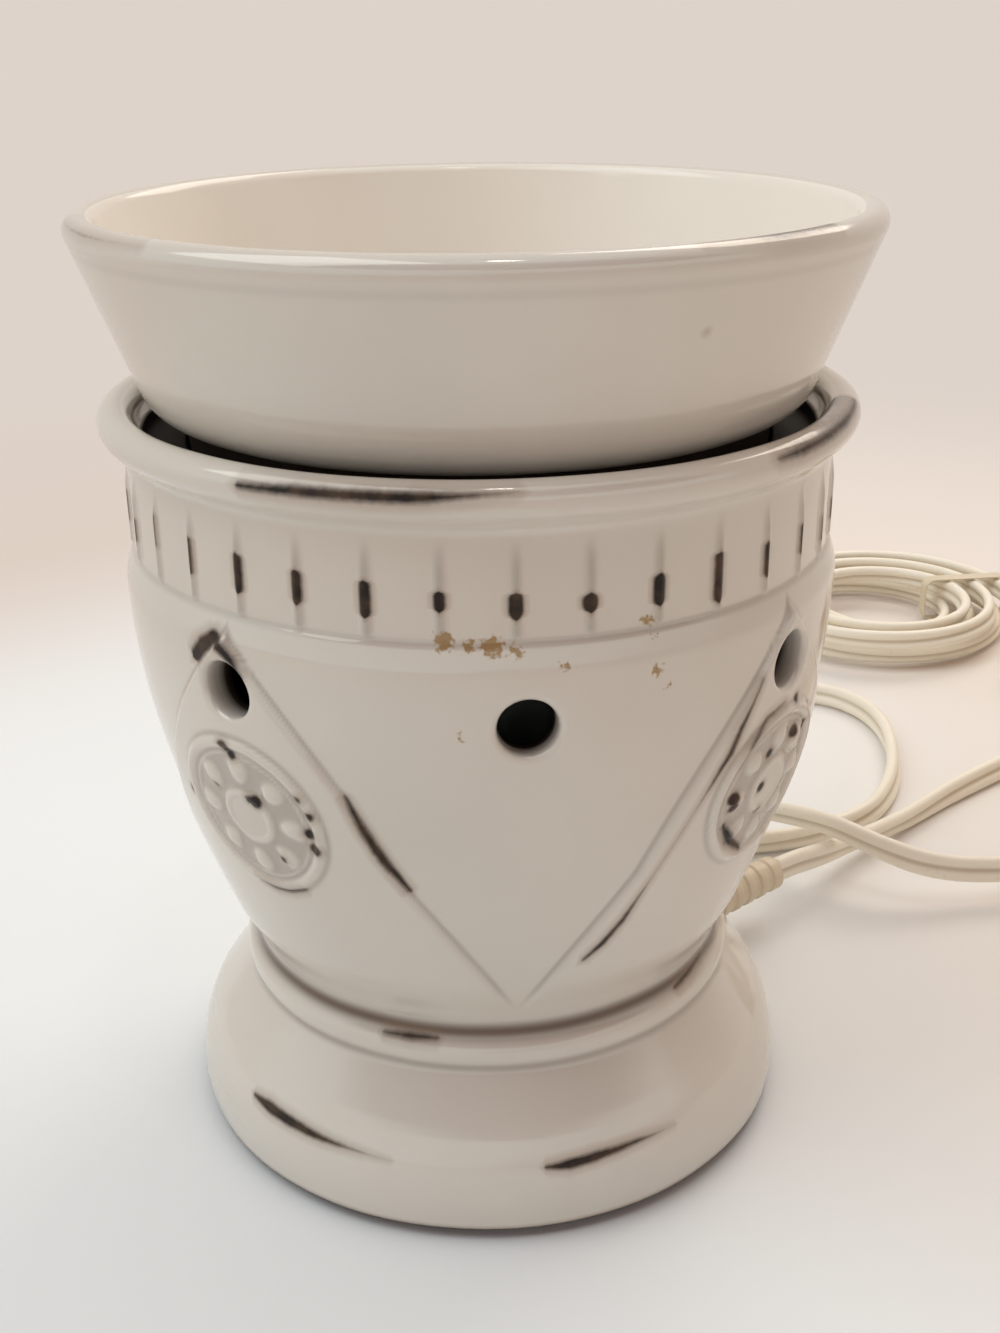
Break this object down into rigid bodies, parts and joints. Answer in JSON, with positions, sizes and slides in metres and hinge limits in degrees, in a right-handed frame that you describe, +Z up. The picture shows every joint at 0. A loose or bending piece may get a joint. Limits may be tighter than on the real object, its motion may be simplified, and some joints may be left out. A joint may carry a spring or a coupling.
{
  "type": "wax warmer",
  "caption": "Glazed ceramic wax warmer: vented pedestal body with raised ornament, lift-off melting dish, lampholder and bulb inside, and a switched power cord.",
  "frame": {"origin": "on the floor under the middle of the pedestal", "axes": "+Z up along the body's axis, -Y to the front, the plain panel with a vent in its middle"},
  "size_m": [0.2524, 0.2995, 0.15],
  "materials": {
    "white_glaze": "gloss",
    "zinc_steel": "zinc plated",
    "grey_rubber": "matte",
    "black_phenolic": "moulded phenolic",
    "brass": "bright",
    "bulb_glass": "frosted",
    "tungsten": "dark wire",
    "cream_cord": "satin vinyl",
    "cream_plastic": "satin",
    "black_plastic": "matte"
  },
  "bodies": {
    "body": {"base_plate": "zinc_steel", "base_screw_1": "zinc_steel", "base_screw_2": "zinc_steel", "clamp_strap": "zinc_steel", "cord_strain_relief": "cream_plastic", "cord_tie": "black_plastic", "foot_1": "grey_rubber", "foot_2": "grey_rubber", "foot_3": "grey_rubber", "foot_4": "grey_rubber", "lead_1": "cream_cord", "lead_2": "cream_cord", "nipple_nut": "zinc_steel", "plug_blade_1": "brass", "plug_blade_2": "brass", "plug_body": "cream_cord", "power_cord_back": "cream_cord", "power_cord_coil": "cream_cord", "power_cord_out": "cream_cord", "socket_contact": "brass", "socket_housing": "black_phenolic", "socket_nipple": "zinc_steel", "socket_shell": "brass", "switch_base": "cream_plastic", "switch_contact_1": "brass", "switch_contact_2": "brass", "switch_screw": "zinc_steel", "switch_top": "cream_plastic", "terminal_screw_1": "brass", "terminal_screw_2": "brass", "warmer_body": "white_glaze"},
    "dish": {"wax_dish": "white_glaze"},
    "bulb": {"bulb_cap": "brass", "bulb_glass": "bulb_glass", "bulb_insulator": "black_phenolic", "bulb_tip": "brass", "bulb_stem": "bulb_glass", "bulb_filament": "tungsten"},
    "wheel": {"switch_wheel": "cream_plastic"}
  },
  "joints": [
    {"name": "dish_lift", "type": "slide", "parent": "body", "child": "dish", "axis": [0, 0, 1], "range_m": [0, 0.06]},
    {"name": "bulb_turn", "type": "hinge", "parent": "body", "child": "bulb", "pos_m": [0, 0, 0.0287], "axis": [0, 0, 1], "range_deg": [0, 900]},
    {"name": "switch_turn", "type": "hinge", "parent": "body", "child": "wheel", "pos_m": [0.15296, 0.05944, 0.00875], "axis": [0, 0, 1], "continuous": true}
  ]
}
